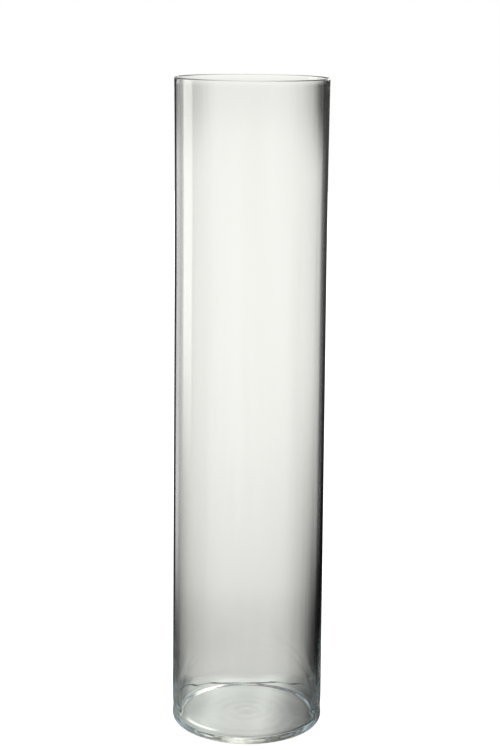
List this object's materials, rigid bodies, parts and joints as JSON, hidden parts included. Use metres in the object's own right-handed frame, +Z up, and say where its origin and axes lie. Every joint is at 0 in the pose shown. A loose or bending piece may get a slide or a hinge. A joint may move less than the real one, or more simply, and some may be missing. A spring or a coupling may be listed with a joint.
{
  "type": "cylinder vase",
  "caption": "Tall straight-sided cylinder vase in clear glass, with a thick rounded base fused to an open tubular wall that ends in a fire-polished rim.",
  "frame": {"origin": "centre of the foot, on the surface that the vase stands on", "axes": "+Z up the vase's axis, from the foot to the rim; the vase is round, so X and Y are any two directions across it"},
  "size_m": [0.1862, 0.1862, 0.8],
  "materials": {
    "clear_glass": "polished clear soda-lime glass with a faint grey-green cast, fire-polished rim"
  },
  "bodies": {
    "root": {"base": "clear_glass", "cylinder_wall": "clear_glass"}
  },
  "joints": []
}
